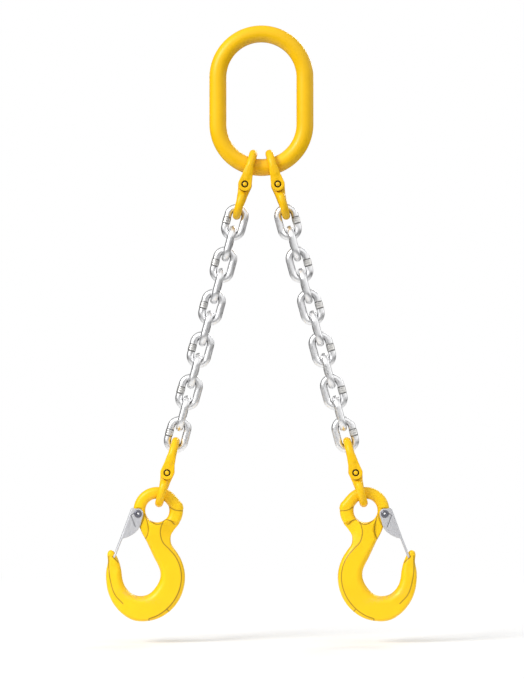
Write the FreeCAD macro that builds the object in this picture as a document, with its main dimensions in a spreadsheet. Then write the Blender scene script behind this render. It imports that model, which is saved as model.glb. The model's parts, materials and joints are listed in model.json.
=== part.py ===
import FreeCAD, Part

import math
import os

import Sketcher
from FreeCAD import Placement, Rotation, Vector

# Two-leg chain sling: an oblong master link, two legs of short-link chain and two eye sling hooks.
#
# Frame: +Z up, X across the two legs, Y through the faces of the links. The origin is the crane hook's seat,
# which is the inside of the master link's top crown. Each leg is straight and leans out from the vertical by
# leg_angle. Its line runs through the centre of the master link's bottom crown, so that every crown bears
# squarely on the next.
#
# In a leg's own frame +z points up the leg, x lies across it in the sling's plane and y is the sling's Y.
# All sizes are in millimetres and degrees.

CHAIN_LINKS = 11
X_AXIS, Y_AXIS, Z_AXIS = Vector(1, 0, 0), Vector(0, 1, 0), Vector(0, 0, 1)
ORIGIN = Vector(0, 0, 0)

SIZES = [
    ("leg_angle", 15.1, "lean of each leg from the vertical"),
    ("seat_gap", 0.2, "slack left between two crowns that bear on each other"),
    ("master_bar", 23, "bar diameter of the master link"),
    ("master_inner_length", 158, "opening of the master link, lengthways"),
    ("master_inner_width", 95, "opening of the master link, across"),
    ("chain_bar", 10, "bar diameter of the chain"),
    ("chain_pitch", 30, "opening of a chain link, lengthways"),
    ("chain_inner_width", 13, "opening of a chain link, across"),
    ("weld_length", 9, "length of the butt weld's collar"),
    ("weld_rise", 0.45, "height of the collar above the bar"),
    ("weld_depth", 1, "how far the collar reaches into the bar"),
    ("coupling_bar", 11, "bar diameter of a coupling half's crown"),
    ("coupling_inner_width", 26, "opening of a coupling half, across"),
    ("coupling_reach", 43.5, "crown centre to pin centre of a coupling half"),
    ("coupling_tuck", 23.6, "angle by which the inner arm leans in"),
    ("lug_radius", 9.3, "outside radius of a lug round its pin"),
    ("lug_thickness", 7.5, "thickness of a lug"),
    ("lug_neck_width", 11.4, "width of a lug where it meets the round bar"),
    ("lug_neck_height", 19, "height of the outer lug's neck above the pin"),
    ("lug_inner_neck_height", 14.2, "height of the inner lug's neck, which must clear the bar in the crown"),
    ("lug_blend", 3.6, "length over which a round arm narrows into its lug"),
    ("lug_overlap", 1, "how far a round arm runs into its lug's neck"),
    ("lug_inner_offset", 7.25, "pin's middle to the near face of the inner lug"),
    ("lug_outer_offset", 15, "pin's middle to the near face of the outer lug"),
    ("pin_diameter", 9, "load pin"),
    ("pin_clearance", 0.1, "radial clearance of the load pin in a lug"),
    ("pin_waist", 0.5, "depth of the groove that the sleeve snaps into"),
    ("pin_waist_length", 7, "length of that groove between its two slopes"),
    ("pin_chamfer", 1.1, "chamfer on the load pin's ends"),
    ("sleeve_diameter", 17, "retaining sleeve"),
    ("sleeve_length", 14, "retaining sleeve"),
    ("sleeve_chamfer", 1.2, "chamfer on the sleeve's ends"),
    ("eye_radius", 16, "hole in the hook's eye"),
    ("eye_outer_radius", 32, "outside of the hook's eye"),
    ("shelf_thickness", 12.4, "plate between the shank and the latch"),
    ("pocket_thickness", 12.8, "hook between the latch's two pockets"),
    ("rebate_thickness", 12.8, "hook between the nose's two rebates"),
    ("hook_clear_of", 20, "a distance that clears the hook's sides"),
    ("latch_pivot_across", -23.7, "latch pivot, across from the eye's centre"),
    ("latch_pivot_below", 10.7, "latch pivot, below the eye's centre"),
    ("latch_sheet", 1.6, "sheet thickness of the latch"),
    ("latch_width", 16.6, "outside width of the latch over its cheeks"),
    ("latch_end_radius", 7.3, "round end of the latch's cheeks at the rivet"),
    ("rivet_diameter", 6, "latch rivet"),
    ("rivet_bore", 3.4, "hole through the latch rivet"),
    ("rivet_head", 10.4, "head of the latch rivet"),
    ("rivet_head_height", 1.6, "head of the latch rivet"),
    ("rivet_chamfer", 0.8, "chamfer on the rivet's heads"),
    ("rivet_clearance", 0.08, "radial clearance of the rivet in the hook and the latch"),
    ("spring_wire", 1.2, "latch spring"),
    ("spring_mean_radius", 4.5, "latch spring's coil"),
    ("spring_turns", 1.4, "latch spring's coil"),
    ("spring_pitch_ratio", 1.15, "rise of the coil in a turn, in wires"),
    ("spring_leg", 10, "leg that presses on the latch"),
    ("spring_tail", 1.6, "leg that stays in the seat"),
    ("spring_turn", 206, "angle at which the spring sits round the rivet"),
    ("spring_seat_radius", 6.4, "seat of the spring in the hook's back face"),
    ("spring_seat_start", 3, "middle of the hook to the bottom of that seat"),
]

# Stations of the hook from its nose round the bowl and up the shank into the eye: centre across and below the
# eye's centre, direction from the inside of the hook to its outside, half width along it and half thickness.
STATION_NAMES = ("across", "below", "facing", "half_width", "half_thickness")
HOOK_STATIONS = [
    (-44.9, 72.9, 148, 5.2, 5.2),
    (-39.4, 82.2, 160, 7.6, 7.2),
    (-35.6, 95.6, 157, 10, 8.8),
    (-29, 111, 138, 12, 10.4),
    (-17.4, 125, 115, 13.6, 11.6),
    (-1.6, 133.8, 92, 16.1, 12.4),
    (13.5, 134, 74, 17.2, 12.8),
    (29.2, 126.4, 54, 17.8, 12.8),
    (41.2, 109.8, 27, 17.6, 12.4),
    (45.2, 91, 3, 17.3, 12),
    (42.4, 77, -14, 16.8, 11.5),
    (35.2, 64.2, -34, 15.8, 11),
    (23.6, 51, -40, 15.2, 10.8),
    (14.6, 40.5, -26, 15.4, 10.6),
    (12.4, 29.5, -6, 15.2, 10.2),
    (17.8, 18.5, 10, 11.6, 9.6),
    (24.4, 8.4, 14, 8.8, 8.8),
    (26, -3, -4, 9.4, 8.8),
    (25.2, -12.4, -22, 8.9, 8.4),
    (17.8, -18.2, -46, 5.8, 5.8),
]

doc = FreeCAD.newDocument("chain_sling")
sheet = doc.addObject("Spreadsheet::Sheet", "sizes")


class Size:
    """A number together with the sheet expression that gives it, so that one formula serves both."""

    def __init__(self, value, text):
        self.value, self.text = float(value), text

    @staticmethod
    def of(item):
        return item if isinstance(item, Size) else Size(item, repr(float(item)))

    def combine(self, other, sign, value):
        return Size(value, f"({self.text} {sign} {other.text})")

    def __add__(self, other):
        other = Size.of(other)
        return self.combine(other, "+", self.value + other.value)

    def __sub__(self, other):
        other = Size.of(other)
        return self.combine(other, "-", self.value - other.value)

    def __mul__(self, other):
        other = Size.of(other)
        return self.combine(other, "*", self.value * other.value)

    def __truediv__(self, other):
        other = Size.of(other)
        return self.combine(other, "/", self.value / other.value)

    def __neg__(self):
        return Size(-self.value, f"(-1 * {self.text})")

    def __float__(self):
        return self.value

    def cos(self):
        return Size(math.cos(math.radians(self.value)), f"cos({self.text})")

    def sin(self):
        return Size(math.sin(math.radians(self.value)), f"sin({self.text})")

    def tan(self):
        return self.sin() / self.cos()


def fill_sheet():
    """Writes the driving dimensions and returns them as Sizes by name."""
    stations = [
        (f"{name}_{number:02d}", value, "hook station")
        for number, station in enumerate(HOOK_STATIONS, start=1)
        for name, value in zip(STATION_NAMES, station)
    ]
    named = {}
    for row, (name, value, note) in enumerate(SIZES + stations, start=1):
        sheet.set(f"A{row}", name)
        sheet.set(f"B{row}", str(value))
        sheet.set(f"C{row}", note)
        sheet.setAlias(f"B{row}", name)
        named[name] = Size(value, f"sizes.{name}")
    doc.recompute()
    return named


S = fill_sheet()
ZERO = Size(0, "0")


# ---------------------------------------------------------------- sketches and features


def new_body(label):
    body = doc.addObject("PartDesign::Body", label)
    body.Label = label
    return body


def origin_plane(body, role):
    return next(item for item in body.Origin.OriginFeatures if item.Role == role)


def new_sketch(body, name, role, offset=None):
    """A sketch on one of the body's own planes, moved by offset in the sketch's own axes."""
    sketch = body.newObject("Sketcher::SketchObject", name)
    sketch.AttachmentSupport = [(origin_plane(body, role), "")]
    sketch.MapMode = "FlatFace"
    for axis, size in (offset or {}).items():
        sketch.setExpression(f".AttachmentOffset.Base.{axis}", Size.of(size).text)
    return sketch


def pin_axis(sketch, kind, axis, geometry, point, size):
    """Fixes one coordinate of a sketch point; a zero coordinate puts the point on the sketch's axis."""
    size = Size.of(size)
    if size.value == 0:
        sketch.addConstraint(Sketcher.Constraint("PointOnObject", geometry, point, axis))
        return
    index = sketch.addConstraint(Sketcher.Constraint(kind, -1, 1, geometry, point, size.value))
    sketch.setExpression(f"Constraints[{index}]", size.text)


def pin_level(sketch, geometry, point, height):
    pin_axis(sketch, "DistanceY", -1, geometry, point, height)


def pin_down(sketch, geometry, point, place):
    """Ties one sketch point to (x, y) from the sketch's origin, each a Size."""
    pin_axis(sketch, "DistanceX", -2, geometry, point, place[0])
    pin_level(sketch, geometry, point, place[1])


def set_radius(sketch, geometry, radius):
    radius = Size.of(radius)
    index = sketch.addConstraint(Sketcher.Constraint("Radius", geometry, radius.value))
    sketch.setExpression(f"Constraints[{index}]", radius.text)


def add_circle(sketch, centre, radius):
    middle = Vector(float(centre[0]), float(centre[1]), 0)
    index = sketch.addGeometry(Part.Circle(middle, Z_AXIS, float(radius)), False)
    pin_down(sketch, index, 3, centre)
    set_radius(sketch, index, radius)


def add_line(sketch, start, end):
    a = Vector(float(start[0]), float(start[1]), 0)
    b = Vector(float(end[0]), float(end[1]), 0)
    index = sketch.addGeometry(Part.LineSegment(a, b), False)
    pin_down(sketch, index, 1, start)
    pin_down(sketch, index, 2, end)


def add_half_circle(sketch, centre, radius, first):
    """A half circle counter-clockwise from angle first, 0 or 180: its ends stand level with its centre."""
    middle = Vector(float(centre[0]), float(centre[1]), 0)
    circle = Part.Circle(middle, Z_AXIS, float(radius))
    arc = Part.ArcOfCircle(circle, math.radians(first), math.radians(first + 180))
    index = sketch.addGeometry(arc, False)
    across = radius if first == 0 else -radius
    pin_down(sketch, index, 1, (centre[0] + across, centre[1]))
    pin_down(sketch, index, 2, (centre[0] - across, centre[1]))
    pin_level(sketch, index, 3, centre[1])


def add_polygon(sketch, corners):
    for start, end in zip(corners, corners[1:] + corners[:1]):
        add_line(sketch, start, end)


def pad(body, sketch, length, reverse=False, both=False):
    """A plate of the given thickness on one side of the sketch, or on both sides of it."""
    feature = body.newObject("PartDesign::Pad", sketch.Name + "_pad")
    feature.Profile = sketch
    feature.setExpression("Length", Size.of(length).text)
    feature.Reversed = reverse
    feature.Midplane = both


def pocket_through(body, sketch):
    """A hole of the sketch's shape through the whole body, both ways."""
    feature = body.newObject("PartDesign::Pocket", sketch.Name + "_pocket")
    feature.Profile = sketch
    feature.Type = "ThroughAll"
    feature.Midplane = True


def revolve(body, sketch):
    """The sketch turned once round its own vertical axis."""
    feature = body.newObject("PartDesign::Revolution", sketch.Name + "_turned")
    feature.Profile = sketch
    feature.ReferenceAxis = (sketch, ["V_Axis"])
    feature.Angle = 360


def sweep(body, profile, path):
    """The profile carried along the whole path."""
    feature = body.newObject("PartDesign::AdditivePipe", path.Name + "_swept")
    feature.Profile = profile
    feature.Spine = (path, [f"Edge{n + 1}" for n in range(path.GeometryCount)])


# ---------------------------------------------------------------- places along a leg


def leg_spot(side, distance, turn=0):
    """Where a leg's frame sits at a distance down the leg from the centre of the master link's bottom crown.

    side is -1 for the left leg and 1 for the right; turn spins the piece round the leg's own line.
    """
    lean = -side * float(S["leg_angle"])
    tilt = Rotation(Y_AXIS, lean)
    crown_centre = Vector(0, 0, float(S["master_inner_width"] / 2 - S["master_inner_length"]))
    here = crown_centre + tilt.multVec(Vector(0, 0, -float(distance)))
    return Placement(here, tilt.multiply(Rotation(Z_AXIS, turn)))


def bearing(first_bar, second_bar):
    """Distance between the centres of two bars that bear on each other."""
    return (first_bar + second_bar) / 2 + S["seat_gap"]


MASTER_CENTRE = (S["master_inner_width"] + S["master_bar"]) / 2
LINK_CROWN = (S["chain_pitch"] + S["chain_bar"]) / 2
TOP_COUPLING = MASTER_CENTRE - bearing(S["master_bar"], S["coupling_bar"]) + S["coupling_reach"]
FIRST_LINK = (
    TOP_COUPLING + S["coupling_reach"] - bearing(S["coupling_bar"], S["chain_bar"]) + LINK_CROWN
)
LINK_STEP = S["chain_pitch"] - S["seat_gap"]
LAST_LINK = FIRST_LINK + LINK_STEP * (CHAIN_LINKS - 1)
END_COUPLING = (
    LAST_LINK + LINK_CROWN - bearing(S["coupling_bar"], S["chain_bar"]) + S["coupling_reach"]
)
EYE_CENTRE = (
    END_COUPLING + S["coupling_reach"] + S["eye_radius"] - S["coupling_bar"] / 2 - S["seat_gap"]
)


# ---------------------------------------------------------------- links


def oval_link(label, bar, inner_length, inner_width):
    """A welded link: a round bar swept along two straights and two half circles, lying in XZ."""
    body = new_body(label)
    arm = (inner_width + bar) / 2
    straight = (inner_length - inner_width) / 2
    path = new_sketch(body, label + "_path", "XZ_Plane")
    add_line(path, (arm, -straight), (arm, straight))
    add_half_circle(path, (ZERO, straight), arm, 0)
    add_line(path, (-arm, straight), (-arm, -straight))
    add_half_circle(path, (ZERO, -straight), arm, 180)
    section = new_sketch(body, label + "_section", "XY_Plane")
    add_circle(section, (arm, ZERO), bar / 2)
    sweep(body, section, path)
    return body


def add_weld(body, label):
    """The butt weld's collar: a low barrel round the middle of the link's -X arm."""
    arm = (S["chain_inner_width"] + S["chain_bar"]) / 2
    inside = S["chain_bar"] / 2 - S["weld_depth"]
    outside = S["chain_bar"] / 2 + S["weld_rise"]
    flat = S["weld_length"] / 2 - S["weld_rise"]
    sketch = new_sketch(body, label + "_weld", "XZ_Plane", {"x": -arm})
    add_polygon(
        sketch,
        [
            (inside, -(S["weld_length"] / 2)),
            (S["chain_bar"] / 2, -(S["weld_length"] / 2)),
            (outside, -flat),
            (outside, flat),
            (S["chain_bar"] / 2, S["weld_length"] / 2),
            (inside, S["weld_length"] / 2),
        ],
    )
    revolve(body, sketch)


def master_link():
    body = oval_link(
        "master_link", S["master_bar"], S["master_inner_length"], S["master_inner_width"]
    )
    body.Placement = Placement(Vector(0, 0, -float(S["master_inner_length"] / 2)), Rotation())
    return body


def chain_link(side, number):
    """Odd links lie in the sling's plane with the weld on the outer side; even links stand across it."""
    label = f"{'left' if side < 0 else 'right'}_chain_link_{number:02d}"
    body = oval_link(label, S["chain_bar"], S["chain_pitch"], S["chain_inner_width"])
    add_weld(body, label)
    outer_turn = 0 if side < 0 else 180
    turn = outer_turn if number % 2 else -90
    body.Placement = leg_spot(side, FIRST_LINK + LINK_STEP * (number - 1), turn)
    return body


# ---------------------------------------------------------------- coupling links


def coupling_half(label):
    """A horseshoe forging whose crown stands above the pin, and whose pin lies along Y through the origin.

    Its front arm ends in the outer lug and its back arm, which leans in, in the inner lug.
    """
    body = new_body(label)
    arm = (S["coupling_inner_width"] + S["coupling_bar"]) / 2
    bend = S["coupling_reach"] - arm
    tuck = S["coupling_tuck"]
    arm_end = S["lug_inner_neck_height"] - S["lug_overlap"]
    lean_start = (arm * tuck.cos(), bend - arm * tuck.sin())
    lean_end = (lean_start[0] - (lean_start[1] - arm_end) * tuck.tan(), arm_end)
    path = new_sketch(body, label + "_path", "YZ_Plane")
    add_line(path, (-arm, arm_end), (-arm, bend))
    circle = Part.Circle(Vector(0, float(bend), 0), Z_AXIS, float(arm))
    arc = Part.ArcOfCircle(circle, -math.radians(float(tuck)), math.pi)
    crown = path.addGeometry(arc, False)
    pin_down(path, crown, 1, lean_start)
    pin_down(path, crown, 2, (-arm, bend))
    set_radius(path, crown, arm)
    add_line(path, lean_start, lean_end)
    section = new_sketch(body, label + "_section", "XY_Plane", {"z": arm_end})
    add_circle(section, (ZERO, -arm), S["coupling_bar"] / 2)
    sweep(body, section, path)
    outer_middle = S["lug_outer_offset"] + S["lug_thickness"] / 2
    inner_middle = S["lug_inner_offset"] + S["lug_thickness"] / 2
    arm_into_lug(body, label + "_outer", -arm, -outer_middle, arm_end)
    arm_into_lug(body, label + "_inner", lean_end[0], inner_middle, arm_end)
    lug(body, label + "_outer_lug", S["lug_outer_offset"], S["lug_neck_height"], True)
    lug(body, label + "_inner_lug", S["lug_inner_offset"], S["lug_inner_neck_height"], False)
    hole = new_sketch(body, label + "_pin_hole", "XZ_Plane")
    add_circle(hole, (ZERO, ZERO), S["pin_diameter"] / 2 + S["pin_clearance"])
    pocket_through(body, hole)
    return body


def arm_into_lug(body, name, arm_y, lug_y, height):
    """The round arm narrows to the lug's thickness below the given height."""
    top = new_sketch(body, name + "_arm_end", "XY_Plane", {"z": height})
    add_circle(top, (ZERO, arm_y), S["coupling_bar"] / 2)
    foot = new_sketch(body, name + "_arm_foot", "XY_Plane", {"z": height - S["lug_blend"]})
    add_circle(foot, (ZERO, lug_y), S["lug_thickness"] / 2)
    blend = body.newObject("PartDesign::AdditiveLoft", name + "_arm_blend")
    blend.Profile = foot
    blend.Sections = [top]


def lug(body, name, near_face, height, front):
    """A flat lug round the pin that narrows to the bar; the XZ plane's normal is -Y, so the front is +z."""
    neck = S["lug_neck_width"] / 2
    place = near_face if front else -near_face
    sketch = new_sketch(body, name, "XZ_Plane", {"z": place})
    add_half_circle(sketch, (ZERO, ZERO), S["lug_radius"], 180)
    add_line(sketch, (S["lug_radius"], ZERO), (neck, height))
    add_line(sketch, (neck, height), (-neck, height))
    add_line(sketch, (-neck, height), (-S["lug_radius"], ZERO))
    pad(body, sketch, S["lug_thickness"], reverse=not front)


def load_pin(label):
    """A plain pin along Y with chamfered ends and a shallow waist for the sleeve."""
    body = new_body(label)
    half = S["lug_outer_offset"] + S["lug_thickness"]
    radius = S["pin_diameter"] / 2
    waist = S["pin_waist_length"] / 2
    sketch = new_sketch(body, label + "_profile", "XY_Plane")
    add_polygon(
        sketch,
        [
            (ZERO, -half),
            (radius - S["pin_chamfer"], -half),
            (radius, -half + S["pin_chamfer"]),
            (radius, -waist - S["pin_waist"]),
            (radius - S["pin_waist"], -waist),
            (radius - S["pin_waist"], waist),
            (radius, waist + S["pin_waist"]),
            (radius, half - S["pin_chamfer"]),
            (radius - S["pin_chamfer"], half),
            (ZERO, half),
        ],
    )
    revolve(body, sketch)
    return body


def retaining_sleeve(label):
    """The sleeve that snaps over the pin's waist between the two inner lugs."""
    body = new_body(label)
    inner = S["pin_diameter"] / 2 + S["pin_clearance"]
    outer = S["sleeve_diameter"] / 2
    half = S["sleeve_length"] / 2
    sketch = new_sketch(body, label + "_profile", "XY_Plane")
    add_polygon(
        sketch,
        [
            (inner, -half),
            (outer - S["sleeve_chamfer"], -half),
            (outer, -half + S["sleeve_chamfer"]),
            (outer, half - S["sleeve_chamfer"]),
            (outer - S["sleeve_chamfer"], half),
            (inner, half),
        ],
    )
    revolve(body, sketch)
    return body


def coupling_link(side, where, distance):
    """Two identical halves, one turned over, with their load pin and retaining sleeve."""
    prefix = f"{'left' if side < 0 else 'right'}_{where}_coupling"
    pin_spot = leg_spot(side, distance)
    top = coupling_half(prefix + "_top_half")
    top.Placement = pin_spot
    bottom = coupling_half(prefix + "_bottom_half")
    bottom.Placement = pin_spot.multiply(Placement(ORIGIN, Rotation(X_AXIS, 180)))
    pin = load_pin(prefix + "_pin")
    pin.Placement = pin_spot
    sleeve = retaining_sleeve(prefix + "_sleeve")
    sleeve.Placement = pin_spot
    return [top, bottom, pin, sleeve]


# ---------------------------------------------------------------- the eye sling hook


# Outlines in the hook's own frame, as (across, below) from the eye's centre.
LATCH_POCKET = [
    (-48, 6), (-16.1, 1.9), (-12.7, 11.7), (-7.9, 17.4), (-3.4, 27.8), (-3.1, 42.1), (-9, 52), (-48, 52),
]
LATCH_SHELF = [
    (-19, 6), (-17.6, 26), (-15.9, 29.1), (-10.6, 35.5), (-2.4, 44.8), (8, 44), (8, 20), (-10, 17),
]
NOSE_REBATE = [(-42.4, 60), (-42.4, 75.4), (-26, 84.2), (-20, 60)]
LATCH_CHEEK = [
    (-34.7, 6.6), (-23.7, 3.4), (-16.8, 8.5), (-16.8, 27.3), (-18.8, 33), (-24.8, 41.6), (-34, 48.4),
    (-36.2, 50.5), (-38.6, 76.2), (-41.6, 75.9), (-38.2, 46),
]
LATCH_INSIDE = [(-32.5, 0), (-8, 0), (-8, 84), (-46, 84), (-46, 66.5), (-38.95, 66.5), (-36.55, 46)]


def bind_place(thing, across, below):
    """Ties an object's place to (across, below) in the hook's frame, whose x is across and whose z is up."""
    thing.setExpression(".Placement.Base.x", Size.of(across).text)
    thing.setExpression(".Placement.Base.z", (-Size.of(below)).text)


def station_ellipse(name, number):
    """One station of the shank and bowl as an ellipse that stands across the hook's line."""
    across, below, facing, half_width, half_thickness = [
        S[f"{key}_{number:02d}"] for key in STATION_NAMES
    ]
    ellipse = doc.addObject("Part::Ellipse", f"{name}_station_{number:02d}")
    ellipse.setExpression("MajorRadius", half_width.text)
    ellipse.setExpression("MinorRadius", half_thickness.text)
    # The sheet sets the angle of this turn, which only names its axis here.
    ellipse.Placement = Placement(ORIGIN, Rotation(Y_AXIS, 1))
    bind_place(ellipse, across, below)
    ellipse.setExpression(".Placement.Rotation.Angle", facing.text)
    return ellipse


def cross_cylinder(name, radius, length, across, below, start):
    """A cylinder along +Y that starts at y = start."""
    cylinder = doc.addObject("Part::Cylinder", name)
    cylinder.setExpression("Radius", Size.of(radius).text)
    cylinder.setExpression("Height", Size.of(length).text)
    cylinder.Placement = Placement(ORIGIN, Rotation(X_AXIS, -90))
    bind_place(cylinder, across, below)
    cylinder.setExpression(".Placement.Base.y", Size.of(start).text)
    return cylinder


def slab(name, outline, near, far):
    """A flat plate of the given outline between y = near and y = far."""
    plate = doc.addObject("PartDesign::Body", name)
    sketch = new_sketch(plate, name + "_outline", "XZ_Plane", {"z": -Size.of(far)})
    add_polygon(sketch, [(across, -below) for across, below in outline])
    pad(plate, sketch, Size.of(far) - near)
    return plate


def eye_ring(name, ring_radius, bar_radius):
    """The round bar of the hook's eye, a ring round the Y axis."""
    ring = doc.addObject("Part::Torus", name)
    ring.setExpression("Radius1", ring_radius.text)
    ring.setExpression("Radius2", bar_radius.text)
    ring.Placement = Placement(ORIGIN, Rotation(X_AXIS, 90))
    return ring


def joined(name, parts):
    """One solid from overlapping ones."""
    result = doc.addObject("Part::MultiFuse", name)
    result.Shapes = parts
    return result


def hook_forging(label):
    """Eye, shank and bowl in one lofted forging with the latch's pocket and the nose's side rebates."""
    loft = doc.addObject("Part::Loft", label + "_loft")
    loft.Sections = [station_ellipse(label, n + 1) for n in range(len(HOOK_STATIONS))]
    loft.Solid = True
    nose = doc.addObject("Part::Sphere", label + "_nose")
    nose.setExpression("Radius", S["half_width_01"].text)
    bind_place(nose, S["across_01"], S["below_01"])
    bar_radius = (S["eye_outer_radius"] - S["eye_radius"]) / 2
    shelf_half = S["shelf_thickness"] / 2
    solids = [
        loft,
        nose,
        eye_ring(label + "_eye", S["eye_radius"] + bar_radius, bar_radius),
        slab(label + "_shelf", LATCH_SHELF, -shelf_half, shelf_half),
    ]
    pocket_half = S["pocket_thickness"] / 2
    rebate_half = S["rebate_thickness"] / 2
    far = S["hook_clear_of"]
    pivot = (S["latch_pivot_across"], S["latch_pivot_below"])
    cuts = [
        slab(label + "_front_pocket", LATCH_POCKET, -far, -pocket_half),
        slab(label + "_back_pocket", LATCH_POCKET, pocket_half, far),
        slab(label + "_front_rebate", NOSE_REBATE, -far, -rebate_half),
        slab(label + "_back_rebate", NOSE_REBATE, rebate_half, far),
        cross_cylinder(
            label + "_rivet_hole", S["rivet_diameter"] / 2 + S["rivet_clearance"], far * 2, *pivot, -far
        ),
        cross_cylinder(
            label + "_spring_seat", S["spring_seat_radius"], far, *pivot, S["spring_seat_start"]
        ),
    ]
    forging = doc.addObject("Part::Cut", label)
    forging.Base = joined(label + "_solid", solids)
    forging.Tool = joined(label + "_removed", cuts)
    forging.Label = label
    return forging


def latch_plate(label):
    """The latch, pressed from sheet: a web along the front and two cheeks that end in fingers."""
    body = new_body(label)
    outline = new_sketch(body, label + "_cheek", "XZ_Plane")
    add_polygon(outline, [(across, -below) for across, below in LATCH_CHEEK])
    pad(body, outline, S["latch_width"], both=True)
    pivot = (S["latch_pivot_across"], -S["latch_pivot_below"])
    round_end = new_sketch(body, label + "_round_end", "XZ_Plane")
    add_circle(round_end, pivot, S["latch_end_radius"])
    pad(body, round_end, S["latch_width"], both=True)
    inside = new_sketch(body, label + "_inside", "XZ_Plane")
    add_polygon(inside, [(across, -below) for across, below in LATCH_INSIDE])
    hollow = body.newObject("PartDesign::Pocket", label + "_hollow")
    hollow.Profile = inside
    hollow.Midplane = True
    hollow.setExpression("Length", (S["latch_width"] - S["latch_sheet"] * 2).text)
    bore = new_sketch(body, label + "_bore", "XZ_Plane")
    add_circle(bore, pivot, S["rivet_diameter"] / 2 + S["rivet_clearance"])
    pocket_through(body, bore)
    return body


def latch_rivet(label):
    """A hollow rivet along Y with two low heads, fixed in the hook; the latch turns on it."""
    body = new_body(label)
    half = S["latch_width"] / 2 + S["seat_gap"] / 2
    shank, head, bore = S["rivet_diameter"] / 2, S["rivet_head"] / 2, S["rivet_bore"] / 2
    top = half + S["rivet_head_height"]
    rim, shoulder = head - S["rivet_chamfer"], top - S["rivet_chamfer"]
    sketch = new_sketch(body, label + "_profile", "XY_Plane")
    add_polygon(
        sketch,
        [
            (bore, -top), (rim, -top), (head, -shoulder), (head, -half), (shank, -half),
            (shank, half), (head, half), (head, shoulder), (rim, top), (bore, top),
        ],
    )
    revolve(body, sketch)
    return body


def latch_spring(label):
    """A torsion spring round the rivet: its long leg presses on the latch and its tail stays in the seat."""
    wire = float(S["spring_wire"])
    pitch = wire * float(S["spring_pitch_ratio"])
    turns = float(S["spring_turns"])
    coil = Part.makeHelix(pitch, pitch * turns, float(S["spring_mean_radius"])).Edges[0]
    start, end = coil.valueAt(coil.FirstParameter), coil.valueAt(coil.LastParameter)
    heading, leaving = coil.tangentAt(coil.FirstParameter), coil.tangentAt(coil.LastParameter)
    leg_end = start - heading * float(S["spring_leg"])
    leg = Part.makeLine(leg_end, start)
    tail = Part.makeLine(end, end + leaving * float(S["spring_tail"]))
    section = Part.Wire(Part.makeCircle(wire / 2, leg_end, heading))
    spring = doc.addObject("Part::Feature", label)
    spring.Label = label
    spring.Shape = Part.Wire([leg, coil, tail]).makePipeShell([section], True, True)
    return spring


def hook_assembly(side):
    prefix = "left" if side < 0 else "right"
    hook_spot = leg_spot(side, EYE_CENTRE, 0 if side < 0 else 180)
    pivot = Vector(float(S["latch_pivot_across"]), 0, -float(S["latch_pivot_below"]))
    pivot_spot = hook_spot.multiply(Placement(pivot, Rotation()))
    hook = hook_forging(prefix + "_hook")
    latch = latch_plate(prefix + "_latch")
    hook.Placement = hook_spot
    latch.Placement = hook_spot
    rivet = latch_rivet(prefix + "_latch_rivet")
    rivet.Placement = pivot_spot
    spring = latch_spring(prefix + "_latch_spring")
    coil_start = float(S["spring_seat_start"] + S["spring_wire"] / 2 + S["seat_gap"])
    turned = Rotation(Y_AXIS, float(S["spring_turn"]))
    spring.Placement = pivot_spot.multiply(
        Placement(Vector(0, coil_start, 0), turned.multiply(Rotation(X_AXIS, -90)))
    )
    return [hook, latch, rivet, spring]


# ---------------------------------------------------------------- the whole sling


def build():
    pieces = [master_link()]
    for side in (-1, 1):
        pieces += coupling_link(side, "upper", TOP_COUPLING)
        pieces += [chain_link(side, number + 1) for number in range(CHAIN_LINKS)]
        pieces += coupling_link(side, "lower", END_COUPLING)
        pieces += hook_assembly(side)
    return pieces


def check_and_export(pieces):
    doc.recompute()
    bad = [item.Name for item in doc.Objects if {"Invalid", "Error"} & set(item.State)]
    if bad:
        raise RuntimeError(f"objects with errors: {bad}")
    os.makedirs("parts", exist_ok=True)
    for piece in pieces:
        shape = piece.Shape
        if shape.isNull() or not shape.isValid() or not shape.Solids:
            raise RuntimeError(f"{piece.Label} has no valid solid")
        shape.exportStep(f"parts/{piece.Label}.step")


check_and_export(build())
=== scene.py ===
"""Looks of a two-leg chain sling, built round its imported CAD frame."""
import json
import math

import bpy
import numpy as np
from mathutils import Matrix, Vector

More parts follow.
